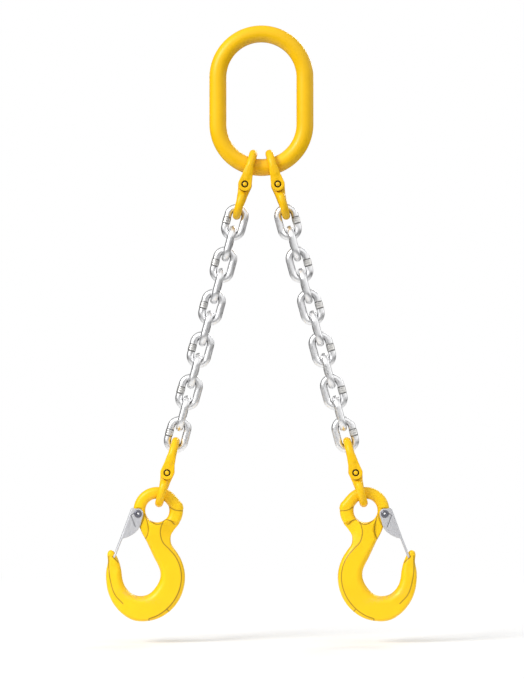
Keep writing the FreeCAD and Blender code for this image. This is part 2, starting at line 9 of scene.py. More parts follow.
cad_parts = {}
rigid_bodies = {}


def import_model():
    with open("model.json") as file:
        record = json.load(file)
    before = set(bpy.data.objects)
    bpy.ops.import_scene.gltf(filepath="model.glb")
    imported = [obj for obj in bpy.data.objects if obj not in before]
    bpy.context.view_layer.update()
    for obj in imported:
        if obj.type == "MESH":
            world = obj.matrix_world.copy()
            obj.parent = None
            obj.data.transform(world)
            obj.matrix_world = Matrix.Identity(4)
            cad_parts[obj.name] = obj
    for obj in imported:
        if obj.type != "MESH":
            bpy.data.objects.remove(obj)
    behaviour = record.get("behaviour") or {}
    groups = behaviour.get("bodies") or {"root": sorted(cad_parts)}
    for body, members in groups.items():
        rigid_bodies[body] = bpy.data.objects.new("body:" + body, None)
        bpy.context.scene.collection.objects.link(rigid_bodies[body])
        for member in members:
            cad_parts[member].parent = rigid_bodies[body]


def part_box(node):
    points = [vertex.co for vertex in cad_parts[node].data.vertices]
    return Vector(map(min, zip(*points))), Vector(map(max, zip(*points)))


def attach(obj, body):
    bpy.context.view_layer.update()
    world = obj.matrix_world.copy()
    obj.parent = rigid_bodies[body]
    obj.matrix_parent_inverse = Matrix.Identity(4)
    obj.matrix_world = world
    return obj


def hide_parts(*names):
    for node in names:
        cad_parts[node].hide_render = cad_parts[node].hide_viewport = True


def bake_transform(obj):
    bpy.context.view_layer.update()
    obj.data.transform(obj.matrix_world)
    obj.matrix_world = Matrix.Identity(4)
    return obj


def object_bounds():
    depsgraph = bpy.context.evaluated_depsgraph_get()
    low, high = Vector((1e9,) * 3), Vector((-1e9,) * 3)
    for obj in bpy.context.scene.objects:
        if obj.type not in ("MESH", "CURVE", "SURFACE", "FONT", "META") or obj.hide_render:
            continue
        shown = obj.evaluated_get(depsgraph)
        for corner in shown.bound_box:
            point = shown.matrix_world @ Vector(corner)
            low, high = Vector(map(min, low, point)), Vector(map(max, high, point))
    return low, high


# Sizes below are in millimetres in each piece's own frame, and MM turns them into the scene's metres.
#
# Forgings and pressings are sampled as distance fields, negative inside, and skinned. Links and springs are
# swept, and turned pieces are lathed. A leg has its own frame: x across it, y through the sling, z up it.

MM = 0.001
CHAIN_LINKS = 11
LINK_STEP = 29.8
PIN_TO_EYE = 53.8
LATCH_PIVOT = (-23.7, 10.7)  # the rivet's place as (across, below) from the eye's centre
RIVET_HOLE = 3.1  # its radius

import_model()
cad_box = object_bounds()


# ---------------------------------------------------------------- places in the frame


def middle(node):
    low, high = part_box(node)
    return (low + high) / 2


def columns(x, y, z, place):
    """A frame's matrix from its axes and its origin."""
    turn = Matrix((x, y, z)).transposed().to_4x4()
    return Matrix.Translation(place) @ turn


def leg_frame(side, distance, half_turn=False):
    """The leg's frame at a distance in millimetres below its upper coupling pin."""
    upper, lower = middle(side + "_upper_coupling_pin"), middle(side + "_lower_coupling_pin")
    up = (upper - lower).normalized()
    through = Vector((0, -1, 0)) if half_turn else Vector((0, 1, 0))
    return columns(through.cross(up), through, up, upper - up * distance * MM)


def pin_distance(side):
    return (middle(side + "_upper_coupling_pin") - middle(side + "_lower_coupling_pin")).length / MM


def hook_frame(side):
    """The hook's frame at the centre of its eye; the right hook is the left one turned round its leg."""
    return leg_frame(side, pin_distance(side) + PIN_TO_EYE, half_turn=side == "right")


# ---------------------------------------------------------------- distance fields


def smooth_step(value, start, end):
    part = np.clip((value - start) / (end - start), 0, 1)
    return part * part * (3 - 2 * part)


def blend_together(a, b, radius):
    """Union of two fields with a fillet of about this radius."""
    overlap = np.maximum(radius - np.abs(a - b), 0) / radius
    return np.minimum(a, b) - overlap * overlap * radius / 4


def cut_with(a, b, radius):
    """What two fields have in common, with an eased edge of about this radius."""
    return -blend_together(-a, -b, radius)


def round_corner(a, b, radius):
    """What two fields have in common, with a true round of this radius along their edge."""
    a, b = a + radius, b + radius
    outside = np.hypot(np.maximum(a, 0), np.maximum(b, 0))
    return outside + np.minimum(np.maximum(a, b), 0) - radius


def smooth_path(points, closed, steps=6):
    """A smooth curve through the points; the stretches that meet at a point share their direction there."""
    points = np.array(points, float)
    count = len(points)
    after = np.roll(points, -1, axis=0) - points
    length = np.hypot(after[:, 0], after[:, 1])
    unit = after / length[:, None]
    heading = unit + np.roll(unit, 1, axis=0)
    if not closed:
        heading[0], heading[-1] = unit[0], unit[-2]
    heading /= np.hypot(heading[:, 0], heading[:, 1])[:, None]
    curve = []
    for i in range(count if closed else count - 1):
        j = (i + 1) % count
        for t in np.arange(steps) / steps:
            curve.append(
                points[i] * (2 * t**3 - 3 * t**2 + 1)
                + heading[i] * length[i] * (t**3 - 2 * t**2 + t)
                + points[j] * (3 * t**2 - 2 * t**3)
                + heading[j] * length[i] * (t**3 - t**2)
            )
    curve.append(curve[0] if closed else points[-1])
    return np.array(curve)


def nearest_on(path, across, below):
    """Distance to the path, the side it lies on (positive to the path's left) and how far along, 0 to 1."""
    distance = np.full(across.shape, np.inf)
    side, along = np.zeros(across.shape), np.zeros(across.shape)
    steps = np.diff(path, axis=0)
    lengths = np.hypot(steps[:, 0], steps[:, 1])
    starts = np.concatenate([[0], np.cumsum(lengths)])
    for corner, step, length, start in zip(path, steps, lengths, starts):
        du, dw = across - corner[0], below - corner[1]
        t = np.clip((du * step[0] + dw * step[1]) / length**2, 0, 1)
        gap = np.hypot(du - t * step[0], dw - t * step[1])
        closer = gap < distance
        distance = np.where(closer, gap, distance)
        side = np.where(closer, step[0] * dw - step[1] * du, side)
        along = np.where(closer, (start + t * length) / starts[-1], along)
    return distance, np.sign(side), along


def within(outline, across, below):
    """Distance inside a closed outline, negative outside it."""
    inside = np.zeros(across.shape, bool)
    for (u0, w0), (u1, w1) in zip(outline[:-1], outline[1:]):
        spans = (w0 > below) != (w1 > below)
        rise = w1 - w0 if w1 != w0 else 1
        inside ^= spans & (across < (u1 - u0) * (below - w0) / rise + u0)
    distance = nearest_on(outline, across, below)[0]
    return np.where(inside, distance, -distance)


def closed(corners):
    return np.array(list(corners) + [corners[0]], float)


def sample_grid(low, high, step):
    """Coordinates along x, y and z that broadcast to a grid over the box."""
    x, y, z = (np.arange(a, b + step, step) for a, b in zip(low, high))
    return x[:, None, None], y[None, :, None], z[None, None, :]


def skin(field, low, step):
    """Surface nets: the closed quad mesh of the field's zero level, as points and faces."""
    solid = field < 0
    shape = np.array(field.shape) - 1
    count, total = np.zeros(shape), np.zeros((*shape, 3))

    def corner(offset):
        return tuple(slice(o, o + n) for o, n in zip(offset, shape))

    for axis in range(3):
        first, second = [a for a in range(3) if a != axis]
        for i, j in ((0, 0), (0, 1), (1, 0), (1, 1)):
            start = [0, 0, 0]
            start[first], start[second] = i, j
            end = list(start)
            end[axis] = 1
            a, b = field[corner(start)], field[corner(end)]
            crossed = (a < 0) != (b < 0)
            gap = np.where(crossed, a - b, 1)
            count += crossed
            total[..., axis] += np.where(crossed, a / gap, 0)
            total[..., first] += crossed * i
            total[..., second] += crossed * j
    used = count > 0
    number = np.full(shape, -1)
    number[used] = np.arange(used.sum())
    points = np.array(low) + step * (np.argwhere(used) + total[used] / count[used][:, None])
    faces = []
    for axis in range(3):
        u, v = (axis + 1) % 3, (axis + 2) % 3
        here, there = [slice(1, -1)] * 3, [slice(1, -1)] * 3
        here[axis], there[axis] = slice(0, -1), slice(1, None)
        a, b = solid[tuple(here)], solid[tuple(there)]
        for outward in (True, False):
            spots = np.argwhere(a & ~b if outward else ~a & b)
            spots[:, [u, v]] += 1
            quad = []
            for du, dv in ((1, 1), (0, 1), (0, 0), (1, 0)):
                cell = spots.copy()
                cell[:, u] -= du
                cell[:, v] -= dv
                quad.append(number[cell[:, 0], cell[:, 1], cell[:, 2]])
            faces.append(np.stack(quad if outward else quad[::-1], axis=1))
    return points, np.concatenate(faces)


def relax(points, faces, rounds, amount=0.5):
    """Evens a skinned mesh out by moving each point part of the way to its neighbours' middle."""
    edges = np.concatenate([faces[:, [i, (i + 1) % 4]] for i in range(4)])
    degree = np.bincount(edges.ravel(), minlength=len(points))[:, None]
    for _ in range(rounds):
        pull = np.zeros_like(points)
        np.add.at(pull, edges[:, 0], points[edges[:, 1]])
        np.add.at(pull, edges[:, 1], points[edges[:, 0]])
        points = points * (1 - amount) + pull / degree * amount
    return points


# ---------------------------------------------------------------- meshes


def make_mesh(name, points, faces, rub=None, crease=None):
    """A smooth mesh from points in millimetres; rub and crease hold 0 to 1 for each point."""
    mesh = bpy.data.meshes.new(name)
    corners = faces.tolist() if isinstance(faces, np.ndarray) else faces
    mesh.from_pydata((np.array(points) * MM).tolist(), [], corners)
    mesh.polygons.foreach_set("use_smooth", np.ones(len(mesh.polygons), bool))
    for key, values in (("rub", rub), ("crease", crease)):
        if values is not None:
            mesh.attributes.new(key, "FLOAT", "POINT").data.foreach_set("value", values.astype(np.float32))
    mesh.update()
    return mesh


def ring_faces(rings, around, close_rings):
    """Quads between rings of points that follow one another."""
    faces = []
    for i in range(rings if close_rings else rings - 1):
        for j in range(around):
            a, b = i * around, (i + 1) % rings * around
            k = (j + 1) % around
            faces.append((a + j, a + k, b + k, b + j))
    return faces


def link_mesh(name, bar, inner_length, inner_width, rings, around, weld_length=0.0, weld_rise=0.0):
    """A welded link in XZ; its butt weld's collar is in the middle of the -X arm."""
    arm, straight = (inner_width + bar) / 2, (inner_length - inner_width) / 2
    total = 4 * straight + 2 * math.pi * arm
    points, rub = [], []
    for i in range(rings):
        travel = i * total / rings
        from_weld = min(travel, total - travel)
        part = (travel - straight) % total
        if part < math.pi * arm:
            turn = math.pi + part / arm
            x, z = arm * math.cos(turn), -straight + arm * math.sin(turn)
        elif part < math.pi * arm + 2 * straight:
            turn = 0
            x, z = arm, part - math.pi * arm - straight
        elif part < 2 * math.pi * arm + 2 * straight:
            turn = (part - math.pi * arm - 2 * straight) / arm
            x, z = arm * math.cos(turn), straight + arm * math.sin(turn)
        else:
            turn = math.pi
            x, z = -arm, 3 * straight + 2 * math.pi * arm - part
        radius = bar / 2
        if weld_length:
            shoulder = 1 - float(smooth_step(from_weld, weld_length / 2 - 0.7, weld_length / 2))
            ripple = 0.8 + 0.2 * math.cos(from_weld * 2 * math.pi / 3)
            radius += weld_rise * shoulder * ripple
        bend = abs(math.sin(turn))
        for j in range(around):
            phi = 2 * math.pi * j / around
            out = radius * math.cos(phi)
            points.append((x + out * math.cos(turn), radius * math.sin(phi), z + out * math.sin(turn)))
            inward = max(-math.cos(phi), 0) ** 3
            rub.append(inward * max(bend - 0.55, 0) / 0.45 if abs(z) > straight else 0)
    return make_mesh(name, points, ring_faces(rings, around, True), np.array(rub))


def lathe_mesh(name, profile, around=72):
    """A piece turned about Y from a closed profile of (radius, y); a zero radius closes on the axis."""
    points, starts = [], []
    for radius, y in profile:
        starts.append(len(points))
        if radius == 0:
            points.append((0, y, 0))
            continue
        for j in range(around):
            turn = 2 * math.pi * j / around
            points.append((radius * math.sin(turn), y, radius * math.cos(turn)))
    faces = []
    for i, (radius, _) in enumerate(profile):
        k = (i + 1) % len(profile)
        for j in range(around):
            n = (j + 1) % around
            a, b = starts[i], starts[k]
            if radius == 0 and profile[k][0] == 0:
                continue
            if radius == 0:
                faces.append((a, b + n, b + j))
            elif profile[k][0] == 0:
                faces.append((a + n, b, a + j))
            else:
                faces.append((a + n, b + n, b + j, a + j))
    return make_mesh(name, points, faces)


def rounded(profile, radius, steps=4):
    """The profile with each of its corners off the axis rounded."""
    result = []
    count = len(profile)
    for i, corner in enumerate(profile):
        here = np.array(corner, float)
        before, after = np.array(profile[i - 1], float), np.array(profile[(i + 1) % count], float)
        if corner[0] == 0:
            result.append(corner)
            continue
        back, ahead = before - here, after - here
        reach = min(radius, np.hypot(*back) * 0.45, np.hypot(*ahead) * 0.45)
        start, end = here + back / np.hypot(*back) * reach, here + ahead / np.hypot(*ahead) * reach
        for t in np.linspace(0, 1, steps):
            result.append(tuple(start * (1 - t) ** 2 + here * 2 * t * (1 - t) + end * t**2))
    return result


# ---------------------------------------------------------------- the hook


# Outline of the forging as (across, below) from the eye's centre, round the nose, up the inside of the bowl,
# behind the latch, through the eye's ring, round the knob and the neck, and down the spine.
HOOK_OUTLINE = [
    (-49.7, 74.7), (-49.3, 70.5), (-46.3, 67.9), (-41.7, 69.2), (-36.7, 74.1), (-31.2, 81.2), (-25.7, 91.1),
    (-20.8, 102.7), (-14.6, 111.1), (-2.7, 117.9), (8, 117.8), (18.7, 112.1), (25.5, 100.2), (27.9, 88.1),
    (26.2, 80), (22.6, 73.8), (12.4, 62.3), (-2.4, 44.8), (-15.9, 29.1), (-19.4, 16), (-20, 4), (-14, -14),
    (4, -24), (19.1, -24.2), (24.9, -21.3), (30, -18.4), (33.2, -13.5), (35.2, -5.5), (35.3, 1.6),
    (32.9, 10.9), (29.3, 19), (27, 28), (30.4, 38.8), (37.9, 45.3), (47.4, 54.2), (55.7, 66.3), (60.6, 79.3),
    (62.3, 94.5), (60.2, 110), (53.5, 125.2), (42, 138.8), (28, 147.3), (9.5, 151.9), (-5.8, 148.8),
    (-22.6, 138.8), (-34.7, 125), (-42.4, 108.4), (-45.3, 96.5), (-46.4, 83.9),
]
# Edge of the raised side face along the neck and the spine, and the crease that runs down from the nose.
SPINE_CREASE = [
    (16.5, 2), (12.2, 12), (11.2, 19), (12.4, 28), (19, 39), (29.1, 45.4), (39.7, 52.6), (48.9, 63.2),
    (54.8, 75.8), (57.2, 92), (54.8, 108.5), (47.5, 124.5), (38, 136), (27.7, 143.6),
]
NOSE_CREASE = [(-46.9, 76), (-43.6, 89), (-36.5, 106.9), (-25.4, 124), (-11.5, 133.1)]
# How rounded the forging's edges are and half its thickness: (across, below, rounding, half_thickness).
HOOK_BUILD = [
    (-24, 0, 8, 8), (0, -24, 8, 8), (24, -8, 8, 8.8), (30, 16, 4.5, 9.4), (10, 30, 7, 10.5),
    (26, 42, 4.5, 10.8), (18, 64, 9, 11.2), (54, 70, 4.2, 11.4), (28, 88, 10.5, 12), (60, 96, 4.2, 12),
    (22, 108, 12, 12.6), (50, 124, 4.2, 12.6), (4, 119, 12, 12.8), (26, 144, 4.5, 12.8), (-4, 147, 5, 12.4),
    (-14, 110, 12, 11.8), (-30, 128, 5, 11.4), (-22, 98, 10, 10), (-42, 106, 4.5, 9.8), (-37, 84, 7, 7.8),
    (-46, 84, 4.5, 7.6), (-45, 73, 5, 5.4),
]
# Corners of the pocket under the latch's cheeks and of the rebate under its prongs.
LATCH_POCKET = [
    (-52, 7), (-16.1, 1.9), (-12.7, 11.7), (-8.9, 17.9), (-4.6, 27.8), (-4.3, 38), (-9, 54), (-52, 54),
]
NOSE_REBATE = [(-42.4, 60), (-42.4, 75.4), (-26, 84.4), (-20, 60)]
# Creases of the dies that don't bound a facet: across the eye's flank, beside the latch, at the heel and
# across the nose.
DIE_LINES = [
    [(15.8, -9), (24, -7.4), (31, -8.4), (35.4, -9)], [(14.6, 8), (22, 8.3), (28.6, 12), (33, 10.6)],
    [(-12.7, 11.7), (-8.9, 17.9), (-4.6, 27.8), (-4.3, 38), (-8, 46)], [(-15, 9), (-14.6, 17), (-17, 27)],
    [(-6.5, 15.4), (4, 17.8), (12.2, 14.6)], [(47.5, 124.5), (51.5, 127.5)], [(27.7, 143.6), (28.6, 147.6)],
    [(-42.4, 75.4), (-37.4, 78.3), (-32, 81.2)],
]
LINE_WIDTH, LINE_DEPTH = 0.75, 0.45
EYE_HOLE, EYE_RING = 16, 32  # radii of the eye's hole and of the ring round it
POCKET_HALF = 6.3  # half the thickness left in the latch's pocket and in the nose's rebate
SPRING_SEAT_RADIUS, SPRING_SEAT_START = 6.4, 3
HOOK_STEP = 0.6


def hook_build(across, below):
    """Edge rounding and half thickness at each place, shaded smoothly between the named ones."""
    weights = [1 / ((across - u) ** 2 + (below - w) ** 2 + 50) ** 2 for u, w, _, _ in HOOK_BUILD]
    total = sum(weights)
    rounding = sum(weight * item[2] for weight, item in zip(weights, HOOK_BUILD)) / total
    thickness = sum(weight * item[3] for weight, item in zip(weights, HOOK_BUILD)) / total
    return rounding, thickness


def hook_lines(across, below):
    """1 in the middle of the forging's creases, falling off to 0 beside them; it grooves the faces and marks
    where painted shade darkens them.
    """
    lines = [smooth_path(line, False) for line in (SPINE_CREASE, NOSE_CREASE, *DIE_LINES)]
    gap = np.minimum.reduce([nearest_on(line, across, below)[0] for line in lines])
    return np.exp(-((gap / LINE_WIDTH) ** 2))


def edge_rounding(depth, rounding, half_thickness, y, power=2.2):
    """Field of a plate whose edge is rounded: depth is the distance in from that edge."""
    run = np.maximum(rounding - depth, 0) / rounding
    return ((run**power + (y / half_thickness) ** power) ** (1 / power) - 1) * half_thickness


def hook_field(x, y, z):
    """The hook's forging: a sling hook with its eye, knob, neck, flat-sided bowl and latch seat."""
    across, below = np.broadcast_arrays(x, -z)
    height = np.abs(y)
    eye = np.hypot(across, below)
    body = within(smooth_path(HOOK_OUTLINE, True), across, below)
    silhouette = -blend_together(-body, eye - EYE_RING, 2.5)
    rounding, thickness = hook_build(across, below)
    field = edge_rounding(silhouette, rounding, thickness, height)

    hole_rounding = 8 - 4.5 * smooth_step(below, 6, 15) * smooth_step(across, -8, 2)
    field = np.maximum(field, edge_rounding(eye - EYE_HOLE, hole_rounding, thickness, height))

    gap, side, along = nearest_on(smooth_path(SPINE_CREASE, False), across, below)
    slope = 0.35 + 0.5 * smooth_step(below, 34, 56)
    outer = (side < 0) & (along < 1)
    drop = np.where(outer, gap * slope + 0.3, 0) * smooth_step(below, 7.6, 8.6)
    gap, side, along = nearest_on(smooth_path(NOSE_CREASE, False), across, below)
    fading = 1 - smooth_step(along, 0.62, 1)
    drop += np.where((side > 0) & (along > 0), gap * 0.42 * fading, 0)
    belt = smooth_step(across, 9, 12) * smooth_step(below, -11.5, -10.5) * (1 - smooth_step(below, 7.5, 8.5))
    belt_depth = 0.6
    field = field + belt_depth * belt
    face = height - (thickness - drop - LINE_DEPTH * hook_lines(across, below))
    field = cut_with(field, face, 0.6)

    pocket = -within(closed(LATCH_POCKET), across, below)
    field = cut_with(field, height - POCKET_HALF - 1.5 * np.maximum(pocket, 0), 0.8)
    rebate = -within(closed(NOSE_REBATE), across, below)
    field = cut_with(field, height - POCKET_HALF - 2.2 * np.maximum(rebate, 0), 0.5)

    pivot = np.hypot(across - LATCH_PIVOT[0], below - LATCH_PIVOT[1])
    field = cut_with(field, RIVET_HOLE - pivot, 0.4)
    spring_seat = np.minimum(SPRING_SEAT_RADIUS - pivot, y - SPRING_SEAT_START)
    return cut_with(field, spring_seat, 0.4)


def hook_mesh():
    low, high = (-51.5, -13.9, -154.5), (64.5, 13.9, 34)
    field = hook_field(*sample_grid(low, high, HOOK_STEP))
    points, faces = skin(field, low, HOOK_STEP)
    points = relax(points, faces, 2)
    across, below = points[:, 0], -points[:, 2]
    saddle = np.exp(-(((across - 3) / 20) ** 2) - ((below - 119) / 4) ** 2)
    eye = np.hypot(across, below)
    seat = np.exp(-(((eye - 16.5) / 2.5) ** 2)) * smooth_step(-below, 6, 12)
    # crease marks where painted shade darkens the forging's creases
    lines = hook_lines(across, below) * smooth_step(np.abs(points[:, 1]), 2.5, 4.5)
    return make_mesh("hook", points, faces, np.clip(saddle + seat, 0, 1), lines)


# ---------------------------------------------------------------- the latch


# The cheek's outline as (across, below) from the eye's centre: the curve round the rivet and down the back,
# then the corners of the prongs and the front.
LATCH_BACK = [
    (-27.6, 4.6), (-23.7, 3.4), (-20, 4.4), (-17.4, 7.1), (-16.5, 10.7), (-16.6, 18), (-16.8, 27.3),
    (-18.8, 33), (-22, 38), (-26.4, 42.6), (-30.6, 46), (-34.2, 48),
]
LATCH_FRONT = [
    (-35.4, 50), (-36, 54), (-38.3, 76), (-40, 76.5), (-41.6, 75.8), (-38.2, 46), (-34.7, 6.6), (-31.6, 4.9),
]
LATCH_WEB = [(-34.7, 6.6), (-38.2, 46), (-41.6, 75.8)]  # the front face, seen from the side
LATCH_FOLD = [(-27, 9.5), (-32.2, 15.2), (-22.5, 28.7)]
LATCH_SHEET_THICKNESS, LATCH_HALF_WIDTH = 1.6, 8.3
PRONG_START = 66.5  # below this the web ends and the cheeks run on as prongs
LATCH_STEP = 0.35


def latch_field(x, y, z):
    """A pressing: a web along the front, two cheeks round the rivet and two prongs over the nose."""
    across, below = np.broadcast_arrays(x, -z)
    height = np.abs(y)
    edge = closed([*smooth_path(LATCH_BACK, False), *LATCH_FRONT])
    cheek = -within(edge, across, below)
    gap, side, _ = nearest_on(np.array([(-34.2, 0.9), *LATCH_WEB[1:], (-42.3, 82)]), across, below)
    web = gap * side
    inner_half = LATCH_HALF_WIDTH - LATCH_SHEET_THICKNESS
    outside = round_corner(web, height - LATCH_HALF_WIDTH, 2.4)
    hollow = round_corner(web + LATCH_SHEET_THICKNESS, height - inner_half, 0.9)
    hollow = np.where(below > PRONG_START, height - inner_half, hollow)
    field = cut_with(cut_with(cheek, outside, 0.3), -hollow, 0.3)
    pivot = np.hypot(across - LATCH_PIVOT[0], below - LATCH_PIVOT[1])
    field = cut_with(field, RIVET_HOLE - pivot, 0.2)
    fold_depth = 0.35
    return field + fold_depth * latch_fold(across, below) * smooth_step(height, 7.3, 8)


def latch_fold(across, below):
    gap = nearest_on(np.array(LATCH_FOLD), across, below)[0]
    return np.exp(-((gap / LINE_WIDTH) ** 2))


def latch_mesh():
    low, high = (-43.5, -9.5, -78), (-15, 9.5, -1.5)
    points, faces = skin(latch_field(*sample_grid(low, high, LATCH_STEP)), low, LATCH_STEP)
    points = relax(points, faces, 2)
    # crease marks where painted shade darkens the latch's fold
    fold = latch_fold(points[:, 0], -points[:, 2]) * smooth_step(np.abs(points[:, 1]), 7.3, 7.9)
    return make_mesh("latch", points, faces, crease=fold)


# ---------------------------------------------------------------- coupling links


# The horseshoe's arms, bend and bar; its lugs and where they stand through the link; the faces left free
# round the pin; and the room for the bar that the crown hangs on.
COUPLING = {
    "arm": 18.5, "bend": 25, "tuck": math.radians(23.6), "bar": 5.5, "lug": 9.3, "lug_half": 3.75,
    "outer": -18.75, "inner": 11, "outer_neck": 20.5, "inner_neck": 15, "near_outer": 15.02,
    "far_inner": 14.73, "near_inner": 7.27, "bore": 4.62, "carrier": 26.3, "carrier_room": 11.65,
}
COUPLING_STEP = 0.5


def lug_field(x, y, z, place, neck):
    """A flat lug at y = place: the pin's boss and the bar's width joined by two tangents."""
    wide, narrow = COUPLING["lug"], COUPLING["bar"] + 0.2
    lean = (wide - narrow) / neck
    upright = math.sqrt(1 - lean * lean)
    side = np.abs(x)
    reach = side * -lean + z * upright
    tangent = side * upright + z * lean - wide
    outline = np.where(reach < 0, np.hypot(side, z) - wide, tangent)
    outline = np.where(reach > upright * neck, np.hypot(side, z - neck) - narrow, outline)
    return round_corner(outline, np.abs(y - place) - COUPLING["lug_half"], 0.9)


def coupling_field(x, y, z):
    """Half a coupling link above its pin: a forged horseshoe whose two arms end in flat lugs.

    Its lugs leave room for the thickest bar that the crown hangs on, the master link's.
    """
    size = COUPLING
    turns = np.linspace(math.pi, -size["tuck"], 40)
    crown = [(size["arm"] * math.cos(t), size["bend"] + size["arm"] * math.sin(t)) for t in turns]
    lean_y, lean_z = crown[-1]
    foot, slimmer = 9.5, 1.7
    inner_foot = (lean_y - (lean_z - foot) * math.tan(size["tuck"]), foot)
    path = np.array([(size["outer"], foot), (-size["arm"], 16), *crown, inner_foot])
    across, up = np.broadcast_arrays(y, z)
    gap = nearest_on(path, across, up)[0]
    radius = size["bar"] - slimmer * (1 - smooth_step(up, foot, 16.5))
    bar = np.hypot(gap, x) - radius
    lugs = np.minimum(
        lug_field(x, y, z, size["outer"], size["outer_neck"]),
        lug_field(x, y, z, size["inner"], size["inner_neck"]),
    )
    field = np.maximum(blend_together(bar, lugs, 3), np.abs(y) - size["arm"] - size["bar"] + 0.02)
    field = np.maximum(field, size["carrier_room"] - np.hypot(y, z - size["carrier"]))
    pin = np.hypot(x, z)
    lug_room, sleeve_room = 9.8, 9.1
    free = np.minimum(
        np.maximum(pin - lug_room, np.maximum(-y - size["near_outer"], y - 1)),
        np.maximum(pin - lug_room, size["far_inner"] - y),
    )
    free = np.minimum(free, np.maximum(pin - sleeve_room, np.abs(y) - size["near_inner"]))
    field = np.maximum(field, -free)
    face = np.minimum(np.abs(np.abs(y - size["outer"]) - size["lug_half"]), 2)
    bore_chamfer = 0.7
    chamfer = np.maximum(bore_chamfer - face, 0)
    return cut_with(field, size["bore"] + chamfer - pin, 0.15)


def coupling_mesh():
    low, high = (-10.5, -25.5, -11), (10.5, 25.5, 50.5)
    field = coupling_field(*sample_grid(low, high, COUPLING_STEP))
    points, faces = skin(field, low, COUPLING_STEP)
    points = relax(points, faces, 1)
    across = points[:, 1] / COUPLING["arm"]
    seat = np.exp(-(((points[:, 2] - 38.5) / 2.5) ** 2)) * np.exp(-((across / 0.5) ** 2))
    return make_mesh("coupling_half", points, faces, seat)


def pin_mesh():
    """The load pin; each end is a boss inside a turned groove, all within the pin's chamfered outline."""
    half, radius, boss = 22.5, 4.5, 2.9
    end = [(0, -half), (boss, -half), (boss + 0.25, -half + 1), (radius - 0.15, -half + 1.15)]
    waist = [(radius, -half + 1.9), (radius, -4), (radius - 0.5, -3.5)]
    front = end + waist
    return lathe_mesh("pin", front + [(r, -y) for r, y in reversed(front)])


def sleeve_mesh():
    inner, outer, half, chamfer = 4.6, 8.5, 7, 1.2
    profile = [
        (inner, -half), (outer - chamfer, -half), (outer, -half + chamfer), (outer, half - chamfer),
        (outer - chamfer, half), (inner, half),
    ]
    return lathe_mesh("sleeve", rounded(profile, 0.5))


def rivet_mesh():
    """The hollow rivet with its two rolled heads."""
    bore, shank, head, under, top = 1.7, 3, 5.2, 8.4, 10
    half = [(bore, -top + 0.25), (bore + 0.5, -top), (head - 1, -top), (head, -under - 0.8), (head, -under)]
    profile = half + [(shank, -under)] + [(r, -y) for r, y in reversed(half + [(shank, -under)])]
    return lathe_mesh("rivet", rounded(profile, 0.45))


# The torsion spring's wire and coil radii, the coil's rise in a turn, its turns, and its two straight ends.
SPRING = {"wire": 0.6, "coil": 4.5, "rise": 1.38, "turns": 1.4, "leg": 10, "tail": 1.6}
# How far from the hook's middle the coil starts and ends, and how far it is turned round the rivet.
SPRING_START, SPRING_END, SPRING_TURN = 3.8, 5.7, math.radians(206)


def spring_mesh():
    """A torsion spring about Y: a leg along its first turn's tangent, the coil, and a short tail."""
    wire, coil = SPRING["wire"], SPRING["coil"]
    climb = SPRING["rise"] / (2 * math.pi)
    pace = math.hypot(coil, climb)

    def spot(turn):
        return np.array([coil * math.cos(turn), climb * turn, -coil * math.sin(turn)])

    def heading(turn):
        return np.array([-coil * math.sin(turn), climb, -coil * math.cos(turn)]) / pace

    last = 2 * math.pi * SPRING["turns"]
    easing = 0.5
    path = [(spot(0) - heading(0) * run, heading(0), 0) for run in np.linspace(SPRING["leg"], easing, 12)]
    path += [(spot(turn), heading(turn), turn) for turn in np.linspace(0, last, 90)]
    path += [(spot(last) + heading(last) * run, heading(last), last) for run in (easing, SPRING["tail"])]
    points, around = [path[0][0]], 16
    for centre, forward, turn in path:
        outward = np.array([math.cos(turn), 0, -math.sin(turn)])
        upward = np.cross(forward, outward)
        for j in range(around):
            phi = 2 * math.pi * j / around
            points.append(centre + wire * (outward * math.cos(phi) + upward * math.sin(phi)))
    points.append(path[-1][0])
    faces = [tuple(k + 1 for k in quad) for quad in ring_faces(len(path), around, False)]
    last_ring = len(points) - 1 - around
    for j in range(around):
        k = (j + 1) % around
        faces += [(0, 1 + k, 1 + j), (len(points) - 1, last_ring + j, last_ring + k)]
    return make_mesh("spring", points, faces)


# ---------------------------------------------------------------- materials


